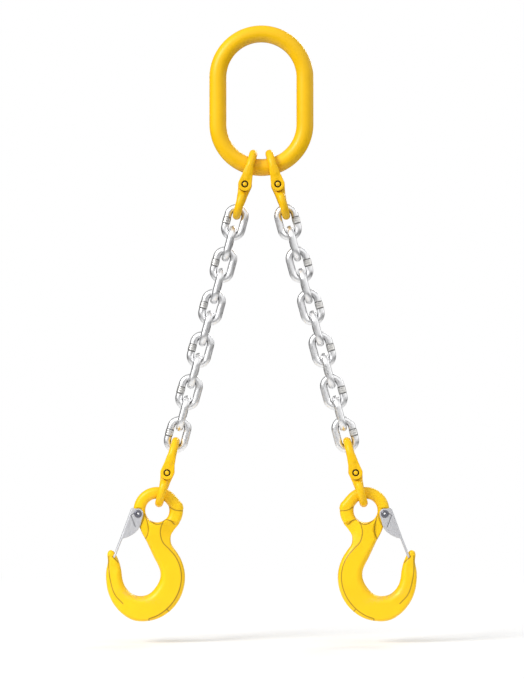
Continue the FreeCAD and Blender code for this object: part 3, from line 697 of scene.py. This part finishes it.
class Material:
    """A node material under construction: each method adds a node and returns its output."""

    def __init__(self, name):
        self.material = bpy.data.materials.new(name)
        self.material.use_nodes = True
        self.tree = self.material.node_tree
        self.tree.nodes.clear()
        self.output = self.tree.nodes.new("ShaderNodeOutputMaterial")
        self.place = self.add("ShaderNodeAttribute", attribute_name="own_place").outputs["Vector"]
        self.seed = self.add("ShaderNodeAttribute", attribute_name="seed").outputs["Fac"]

    def add(self, kind, inputs=None, **settings):
        node = self.tree.nodes.new(kind)
        for key, value in settings.items():
            setattr(node, key, value)
        for key, value in (inputs or {}).items():
            if isinstance(value, bpy.types.NodeSocket):
                self.tree.links.new(value, node.inputs[key])
            else:
                node.inputs[key].default_value = value
        return node

    def math(self, operation, a, b=0.0, clamp=False):
        node = self.add("ShaderNodeMath", {0: a, 1: b}, operation=operation)
        node.use_clamp = clamp
        return node.outputs[0]

    def noise(self, size, detail=2.0, roughness=0.5, place=None):
        """Noise whose features are about size millimetres across, different on every piece."""
        shift = self.math("MULTIPLY", self.seed, 37.0)
        inputs = {
            "Vector": place or self.place, "W": shift, "Scale": 1 / (size * MM), "Detail": detail,
            "Roughness": roughness,
        }
        return self.add("ShaderNodeTexNoise", inputs, noise_dimensions="4D").outputs["Fac"]

    def band(self, value, low, high, out_low=0.0, out_high=1.0):
        inputs = {
            "Value": value, "From Min": low, "From Max": high, "To Min": out_low, "To Max": out_high,
        }
        return self.add("ShaderNodeMapRange", inputs).outputs["Result"]

    def mix(self, factor, a, b):
        node = self.add("ShaderNodeMix", data_type="RGBA")
        for key, value in zip((0, 6, 7), (factor, a, b)):
            if isinstance(value, bpy.types.NodeSocket):
                self.tree.links.new(value, node.inputs[key])
            else:
                node.inputs[key].default_value = value
        return node.outputs[2]

    def edges(self, radius):
        """Nearly 1 on edges sharper than the radius in millimetres and 0 on faces."""
        bevel = self.add("ShaderNodeBevel", {"Radius": radius * MM}, samples=6).outputs["Normal"]
        flat = self.add("ShaderNodeNewGeometry").outputs["Normal"]
        node = self.add("ShaderNodeVectorMath", {0: bevel, 1: flat}, operation="DOT_PRODUCT")
        return self.band(node.outputs["Value"], 0.995, 0.93)

    def crevice(self, reach):
        """1 in the open and darker where surfaces close in within reach millimetres; the materials paint
        shade into their colour with it.
        """
        return self.add("ShaderNodeAmbientOcclusion", {"Distance": reach * MM}, samples=8).outputs["AO"]

    def stored(self, name):
        """A value that the mesh holds at each point, 0 where it holds none."""
        return self.add("ShaderNodeAttribute", attribute_name=name).outputs["Fac"]

    def bump(self, height, distance, normal=None):
        inputs = {"Height": height, "Distance": distance * MM, "Strength": 1.0}
        if normal is not None:
            inputs["Normal"] = normal
        return self.add("ShaderNodeBump", inputs).outputs["Normal"]

    def finish(self, **inputs):
        keys = {key.replace("_", " "): value for key, value in inputs.items()}
        shader = self.add("ShaderNodeBsdfPrincipled", keys)
        self.tree.links.new(shader.outputs["BSDF"], self.output.inputs["Surface"])
        return self.material


def colour(red, green, blue, scale=1.0):
    return (red * scale, green * scale, blue * scale, 1.0)


def powder_coat(name, red, green, blue):
    """Satin powder coat on a forging: orange peel, faint scale underneath, bare steel where it is rubbed,
    and painted shade darkening its hollows and creases.
    """
    m = Material(name)
    broad = m.band(m.noise(38, 3), 0.3, 0.7)
    speck = m.band(m.noise(1.6, 2), 0.35, 0.65)
    coat = m.mix(broad, colour(red, green, blue, 0.94), colour(red, green, blue, 1.03))
    coat = m.mix(m.math("MULTIPLY", speck, 0.10), coat, colour(red, green * 0.86, blue, 0.86))
    # painted shade: the coat darkens towards dark brown in hollows found by ambient occlusion
    painted_hollow_shade = m.math("MULTIPLY", m.band(m.crevice(5), 0.75, 0.15), 0.55)
    coat = m.mix(painted_hollow_shade, coat, colour(0.16, 0.085, 0.012))
    # painted shade: dark brown lines along the creases that the mesh marks
    coat = m.mix(m.math("MULTIPLY", m.stored("crease"), 0.8), coat, colour(0.13, 0.07, 0.01))
    chips = m.band(m.noise(2.4, 4, 0.65), 0.54, 0.60)
    edge = m.math("MULTIPLY", m.edges(0.8), chips)
    scuffs = m.band(m.noise(3.5, 5, 0.7), 0.44, 0.54)
    seat = m.math("MULTIPLY", m.stored("rub"), scuffs)
    bare = m.math("MAXIMUM", m.math("MULTIPLY", edge, 0.6), m.math("MULTIPLY", seat, 0.3), True)
    steel = m.mix(m.noise(6, 3), colour(0.30, 0.28, 0.25), colour(0.46, 0.44, 0.41))
    peel = m.bump(m.noise(1.5, 1), 0.035)
    forged = m.bump(m.noise(7, 3, 0.6), 0.09, peel)
    level = m.bump(m.math("SUBTRACT", 1.0, bare), 0.06, forged)
    roughness = m.math("ADD", m.band(m.noise(9, 3), 0.3, 0.7, 0.34, 0.46), m.math("MULTIPLY", bare, -0.06))
    return m.finish(
        Base_Color=m.mix(bare, coat, steel), Metallic=m.math("MULTIPLY", bare, 0.85), Roughness=roughness,
        Specular_IOR_Level=0.28, Coat_Weight=0.06, Coat_Roughness=0.2, Normal=level,
    )


def bright_zinc(name, pale, weld_half=0.0, arm=0.0):
    """Bright zinc plate: a faint spangle, fine scratches, a straw tint at the weld, and painted shade in its
    creases and along the weld collar's toes.
    """
    m = Material(name)
    metallic = 0.9
    crystal = m.add("ShaderNodeTexVoronoi", {"Vector": m.place, "Scale": 1 / (2.6 * MM)}).outputs["Color"]
    grain = m.add("ShaderNodeSeparateColor", {"Color": crystal}).outputs[0]
    tone = m.mix(grain, colour(pale, pale, pale * 1.01, 0.965), colour(pale, pale, pale * 1.01, 1.02))
    tone = m.mix(m.band(m.noise(14, 3), 0.35, 0.75, 0, 0.22), tone, colour(pale, pale, pale, 0.80))
    if weld_half:
        spot = m.add("ShaderNodeSeparateXYZ", {"Vector": m.place}).outputs
        near = m.band(m.math("ABSOLUTE", spot[2]), (weld_half + 2.6) * MM, (weld_half - 1.2) * MM)
        on_arm = m.band(spot[0], 0.0, -arm * MM * 0.5)
        heat = m.math("MULTIPLY", near, on_arm)
        heat = m.math("MULTIPLY", heat, m.band(m.noise(3, 3), 0.2, 0.8, 0.35, 0.75))
        tone = m.mix(heat, tone, colour(0.62, 0.60, 0.55))
        # painted shade: near-black lines along both toes of the weld collar, kept dark by dropping the metal
        # there
        lines = m.math("ABSOLUTE", m.math("SUBTRACT", m.math("ABSOLUTE", spot[2]), weld_half * MM))
        toe = m.math("MULTIPLY", m.band(lines, 0.95 * MM, 0.45 * MM), on_arm)
        tone = m.mix(m.math("MULTIPLY", toe, 0.9), tone, colour(0.03, 0.03, 0.032))
        metallic = m.band(toe, 0.0, 1.0, metallic, 0.0)
    # painted shade: the zinc darkens in hollows found by ambient occlusion
    painted_crevice_shade = m.math("MULTIPLY", m.band(m.crevice(4), 0.7, 0.1), 0.8)
    tone = m.mix(painted_crevice_shade, tone, colour(0.12, 0.12, 0.125))
    stretched = m.add("ShaderNodeMapping", {"Vector": m.place, "Scale": (1, 1, 0.12)}).outputs["Vector"]
    scratches = m.band(m.noise(0.7, 3, 0.7, stretched), 0.55, 0.75)
    polish = m.math("MULTIPLY", m.stored("rub"), 0.12)
    roughness = m.math("SUBTRACT", m.band(m.noise(5, 4), 0.3, 0.7, 0.26, 0.40), polish)
    normal = m.bump(scratches, 0.012, m.bump(m.noise(2.2, 3, 0.6), 0.03))
    return m.finish(Base_Color=tone, Metallic=metallic, Roughness=roughness, Normal=normal)


def pressed_sheet(name):
    """Zinc-plated strip with a fine rolled grain, brighter sheared edges, and painted shade in its hollows
    and along its fold.
    """
    m = Material(name)
    rolled = m.add("ShaderNodeMapping", {"Vector": m.place, "Scale": (1, 1, 0.06)}).outputs["Vector"]
    grain = m.noise(0.5, 3, 0.6, rolled)
    tone = m.mix(m.band(grain, 0.35, 0.65), colour(0.55, 0.55, 0.57), colour(0.66, 0.66, 0.68))
    tone = m.mix(m.band(m.noise(9, 3), 0.35, 0.7, 0, 0.3), tone, colour(0.50, 0.50, 0.53))
    tone = m.mix(m.math("MULTIPLY", m.edges(0.5), 0.5), tone, colour(0.82, 0.82, 0.84))
    # painted shade: the sheet darkens in hollows found by ambient occlusion
    painted_crevice_shade = m.math("MULTIPLY", m.band(m.crevice(3), 0.7, 0.15), 0.6)
    tone = m.mix(painted_crevice_shade, tone, colour(0.10, 0.10, 0.11))
    # painted shade: a dark line along the latch's fold
    tone = m.mix(m.math("MULTIPLY", m.stored("crease"), 0.75), tone, colour(0.08, 0.08, 0.09))
    roughness = m.band(m.noise(4, 3), 0.3, 0.7, 0.40, 0.52)
    normal = m.bump(grain, 0.01, m.bump(m.noise(6, 2), 0.04))
    return m.finish(Base_Color=tone, Metallic=0.8, Roughness=roughness, Normal=normal)


def dark_steel(name, tone, roughness):
    """Oiled, blackened steel with brighter edges."""
    m = Material(name)
    shade = m.mix(m.band(m.noise(2.5, 3), 0.3, 0.7), colour(*tone, 0.8), colour(*tone, 1.25))
    shade = m.mix(m.math("MULTIPLY", m.edges(0.4), 0.45), shade, colour(0.45, 0.45, 0.47))
    rough = m.band(m.noise(1.2, 3), 0.3, 0.7, roughness - 0.06, roughness + 0.08)
    return m.finish(
        Base_Color=shade, Metallic=0.85, Roughness=rough, Normal=m.bump(m.noise(0.9, 3), 0.012)
    )


MASTER_PAINT = powder_coat("master_link_powder_coat", 0.97, 0.565, 0.003)
COUPLING_PAINT = powder_coat("coupling_powder_coat", 0.97, 0.565, 0.003)
HOOK_PAINT = powder_coat("hook_powder_coat", 0.98, 0.605, 0.003)
CHAIN_ZINC = bright_zinc("chain_bright_zinc", 0.90, weld_half=4.5, arm=11.5)
SLEEVE_ZINC = bright_zinc("sleeve_bright_zinc", 0.74)
LATCH_SHEET = pressed_sheet("latch_rolled_sheet")
PIN_STEEL = dark_steel("pin_blackened_steel", (0.035, 0.033, 0.030), 0.42)
RIVET_STEEL = dark_steel("rivet_blackened_steel", (0.16, 0.16, 0.19), 0.38)
SPRING_STEEL = dark_steel("spring_drawn_steel", (0.22, 0.22, 0.23), 0.30)


# ---------------------------------------------------------------- pieces


def remember_place(mesh, seed):
    """Keeps the points' present coordinates for the materials, with a number that sets the piece apart."""
    count = len(mesh.vertices)
    spots = np.empty(count * 3, np.float32)
    mesh.vertices.foreach_get("co", spots)
    mesh.attributes.new("own_place", "FLOAT_VECTOR", "POINT").data.foreach_set("vector", spots)
    mesh.attributes.new("seed", "FLOAT", "POINT").data.foreach_set("value", np.full(count, seed, np.float32))


def place_piece(name, template, matrix, body, node):
    """A copy of the template set in the frame in place of a CAD node."""
    mesh = template.copy()
    mesh.name = name
    remember_place(mesh, len(bpy.data.objects) * 0.37 % 1)
    mesh.transform(matrix)
    piece = bpy.data.objects.new(name, mesh)
    bpy.context.scene.collection.objects.link(piece)
    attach(piece, body)
    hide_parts(node)
    return piece


def with_materials(mesh, *materials):
    for material in materials:
        mesh.materials.append(material)
    return mesh


def paint_pin_ends(mesh):
    """The boss on each end of the pin takes the second material."""
    for polygon in mesh.polygons:
        centre = polygon.center
        if abs(centre.y) > 22.4 * MM and math.hypot(centre.x, centre.z) < 2.95 * MM:
            polygon.material_index = 1


def build_master_link():
    low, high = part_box("master_link")
    mesh = with_materials(link_mesh("master_link", 23, 158, 95, 300, 72), MASTER_PAINT)
    matrix = Matrix.Translation((low + high) / 2)
    place_piece("forged_master_link", mesh, matrix, "master_link", "master_link")


def build_chain(side):
    first = (pin_distance(side) - LINK_STEP * (CHAIN_LINKS - 1)) / 2
    for number in range(1, CHAIN_LINKS + 1):
        if number % 2:
            turn = 0 if side == "left" else math.pi
        else:
            turn = -math.pi / 2
        matrix = leg_frame(side, first + LINK_STEP * (number - 1)) @ Matrix.Rotation(turn, 4, "Z")
        label = f"{number:02d}"
        place_piece(
            f"{side}_welded_link_{label}", CHAIN_LINK, matrix, f"{side}_link_{label}",
            f"{side}_chain_link_{label}",
        )


def build_coupling(side, where):
    distance = 0 if where == "upper" else pin_distance(side)
    spot = leg_frame(side, distance)
    turned_over = spot @ Matrix.Rotation(math.pi, 4, "X")
    prefix = f"{side}_{where}_coupling"
    top, bottom = prefix + "_top", prefix + "_bottom"
    place_piece(prefix + "_forged_top", COUPLING_HALF, spot, top, top + "_half")
    place_piece(
        prefix + "_forged_bottom", COUPLING_HALF, turned_over, bottom, bottom + "_half"
    )
    place_piece(prefix + "_load_pin", PIN, spot, top, prefix + "_pin")
    place_piece(prefix + "_snap_sleeve", SLEEVE, spot, top, prefix + "_sleeve")


def build_hook(side):
    spot = hook_frame(side)
    pivot = spot @ Matrix.Translation(Vector((LATCH_PIVOT[0], 0, -LATCH_PIVOT[1])) * MM)
    hook, latch = side + "_hook", side + "_latch"
    place_piece(side + "_forged_hook", HOOK, spot, hook, hook)
    place_piece(side + "_pressed_latch", LATCH, spot, latch, latch)
    place_piece(side + "_hollow_rivet", RIVET, pivot, hook, side + "_latch_rivet")
    build_spring(side, pivot)


def build_spring(side, pivot):
    """The torsion spring, its coil turned round the rivet and baked in place; it is attached to neither the
    latch nor the hook, so it does not wind up.
    """
    seat = Matrix.Translation((0, SPRING_START * MM, 0)) @ Matrix.Rotation(SPRING_TURN, 4, "Y")
    mesh = SPRING_MESH.copy()
    remember_place(mesh, 0.5)
    mesh.transform(pivot @ seat)
    piece = bpy.data.objects.new(side + "_torsion_spring", mesh)
    bpy.context.scene.collection.objects.link(piece)
    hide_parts(side + "_latch_spring")
    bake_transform(piece)


CHAIN_LINK = with_materials(
    link_mesh("chain_link", 10, 30, 13, 200, 40, weld_length=9, weld_rise=0.45), CHAIN_ZINC
)
COUPLING_HALF = with_materials(coupling_mesh(), COUPLING_PAINT)
PIN = with_materials(pin_mesh(), PIN_STEEL, COUPLING_PAINT)
paint_pin_ends(PIN)
SLEEVE = with_materials(sleeve_mesh(), SLEEVE_ZINC)
HOOK = with_materials(hook_mesh(), HOOK_PAINT)
LATCH = with_materials(latch_mesh(), LATCH_SHEET)
RIVET = with_materials(rivet_mesh(), RIVET_STEEL)
SPRING_MESH = with_materials(spring_mesh(), SPRING_STEEL)

build_master_link()
for side in ("left", "right"):
    build_coupling(side, "upper")
    build_chain(side)
    build_coupling(side, "lower")
    build_hook(side)


# ---------------------------------------------------------------- floor, light and camera


def build_floor():
    """A pale floor under the hooks that fades into the studio's white."""
    level = cad_box[0].z - 0.03
    mesh = bpy.data.meshes.new("floor")
    reach, sides = 14.0, 96
    rim = [(reach * math.cos(2 * math.pi * i / sides), reach * math.sin(2 * math.pi * i / sides), 0)
           for i in range(sides)]
    mesh.from_pydata(rim, [], [list(range(sides))])
    floor = bpy.data.objects.new("floor", mesh)
    floor.location = (0, 0, level)
    bpy.context.scene.collection.objects.link(floor)
    m = Material("pale_floor")
    position = m.add("ShaderNodeNewGeometry").outputs["Position"]
    away = m.add("ShaderNodeVectorMath", {0: position}, operation="LENGTH").outputs["Value"]
    fade = m.band(away, 0.85, 1.7)
    cloud = m.mix(m.noise(60, 3, place=position), colour(0.86, 0.86, 0.855), colour(0.90, 0.90, 0.90))
    matte = m.add("ShaderNodeBsdfDiffuse", {"Color": cloud}).outputs[0]
    seen = m.add("ShaderNodeLightPath").outputs["Is Camera Ray"]
    glow = m.band(seen, 0.0, 1.0, 0.05, 1.0)
    white = m.add("ShaderNodeEmission", {"Color": (1, 1, 1, 1), "Strength": glow}).outputs[0]
    both = m.add("ShaderNodeMixShader", {0: fade, 1: matte, 2: white}).outputs[0]
    m.tree.links.new(both, m.output.inputs["Surface"])
    mesh.materials.append(m.material)


def build_world():
    """White to the eye, dim as diffuse light, and a bright front with dark flanks in reflections."""
    world = bpy.data.worlds.new("studio")
    bpy.context.scene.world = world
    world.use_nodes = True
    tree = world.node_tree
    tree.nodes.clear()

    def add(kind, **inputs):
        node = tree.nodes.new(kind)
        for key, value in inputs.items():
            key = key.replace("_", " ")
            if isinstance(value, bpy.types.NodeSocket):
                tree.links.new(value, node.inputs[key])
            else:
                node.inputs[key].default_value = value
        return node

    def band(value, low, high, out_low, out_high):
        return add(
            "ShaderNodeMapRange", Value=value, From_Min=low, From_Max=high, To_Min=out_low, To_Max=out_high
        ).outputs[0]

    def background(strength):
        return add("ShaderNodeBackground", Strength=strength, Color=(1, 1, 1, 1)).outputs[0]

    def choose(when, otherwise, chosen):
        node = tree.nodes.new("ShaderNodeMixShader")
        for key, value in zip((0, 1, 2), (when, otherwise, chosen)):
            tree.links.new(value, node.inputs[key])
        return node.outputs[0]

    def total(first, second):
        node = tree.nodes.new("ShaderNodeMath")
        tree.links.new(first, node.inputs[0])
        tree.links.new(second, node.inputs[1])
        return node.outputs[0]

    direction = tree.nodes.new("ShaderNodeTexCoord").outputs["Generated"]
    parts = add("ShaderNodeSeparateXYZ", Vector=direction).outputs
    soft = total(band(parts["Y"], -1.0, 0.4, 0.8, 0.1), band(parts["Z"], 0.1, 0.9, 0.0, 0.5))
    mirrored = total(band(parts["Y"], -0.6, 0.2, 1.05, 0.03), band(parts["Z"], 0.3, 0.9, 0.0, 0.35))
    rays = tree.nodes.new("ShaderNodeLightPath").outputs
    light = choose(rays["Is Glossy Ray"], background(soft), background(mirrored))
    shown = choose(rays["Is Camera Ray"], light, background(1.0))
    output = tree.nodes.new("ShaderNodeOutputWorld")
    tree.links.new(shown, output.inputs["Surface"])


def build_light(name, place, aim, size, power):
    lamp = bpy.data.lights.new(name, "AREA")
    lamp.shape, lamp.size, lamp.energy = "DISK", size, power
    light = bpy.data.objects.new(name, lamp)
    light.location = place
    light.rotation_euler = (Vector(aim) - Vector(place)).to_track_quat("-Z", "Y").to_euler()
    bpy.context.scene.collection.objects.link(light)


def build_camera(centre, height):
    """Straight in front, with a long lens, so that the picture is nearly a true elevation."""
    lens = bpy.data.cameras.new("camera")
    lens.lens, lens.sensor_width = 200, 36
    camera = bpy.data.objects.new("camera", lens)
    away = height / 2 / (lens.sensor_width / 2 / lens.lens)
    camera.location = (centre.x, -away, centre.z)
    camera.rotation_euler = (math.pi / 2, 0, 0)
    lens.clip_end = 60
    bpy.context.scene.collection.objects.link(camera)
    bpy.context.scene.camera = camera


build_floor()
build_world()
sling_middle = (cad_box[0] + cad_box[1]) / 2
sling_height = cad_box[1].z - cad_box[0].z
KEY_WATTS, BACK_WATTS, SIDE_WATTS = 76, 22, 16
FRAME_SHIFT, FRAME_DROP, FRAME_MARGIN = 0.0008, 0.0218, 1.1395  # where the sling sits in the picture
build_light("key", (-2.2, -1.9, 1.3), sling_middle, 1.5, KEY_WATTS)
build_light("back", (1.0, 2.2, 0.8), sling_middle, 1.2, BACK_WATTS)
build_light("side", (2.6, 0.5, 0.4), sling_middle, 2.2, SIDE_WATTS)
build_camera(Vector((FRAME_SHIFT, 0, sling_middle.z - FRAME_DROP)), sling_height * FRAME_MARGIN)
bpy.context.scene.view_settings.view_transform = "Standard"
